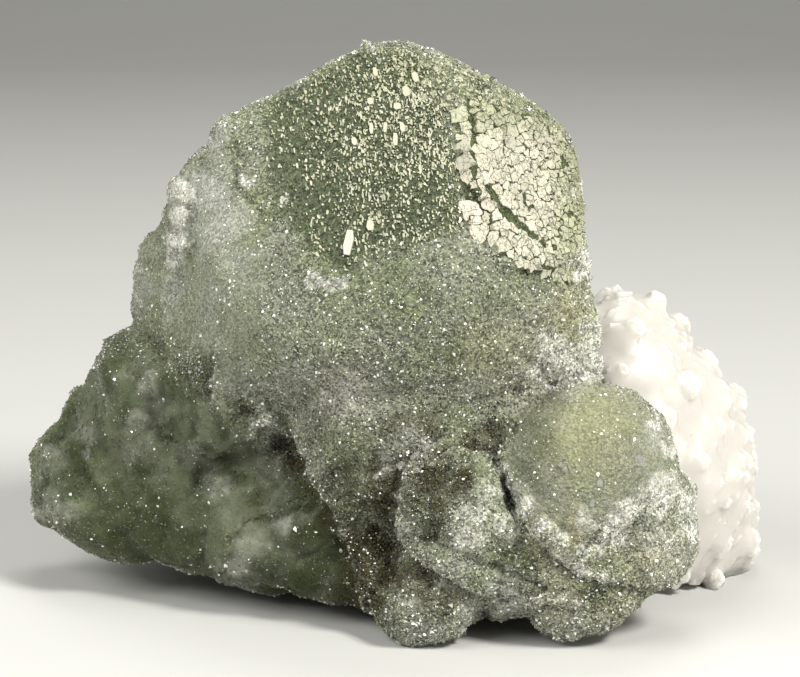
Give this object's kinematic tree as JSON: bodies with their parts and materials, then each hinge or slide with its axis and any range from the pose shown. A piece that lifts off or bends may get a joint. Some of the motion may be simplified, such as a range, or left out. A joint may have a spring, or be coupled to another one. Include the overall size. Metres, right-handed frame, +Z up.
{
  "type": "fluorite on quartz specimen",
  "caption": "Rounded intergrown fluorite crystals under a sugary crust, with a cracked mosaic on one face, on a bed of short quartz points cut flat to stand on.",
  "frame": {"origin": "bottom centre of the bounding box, on the shelf", "axes": "+X along the specimen's face, towards the bare quartz; +Y from the face to the back; +Z up"},
  "size_m": [0.1062, 0.0566, 0.079],
  "materials": {
    "fluorite": "milky green under a fine sparkling crust",
    "quartz": "milky white, glassy faces"
  },
  "bodies": {
    "root": {"fluorite": "fluorite", "quartz": "quartz"}
  },
  "joints": []
}
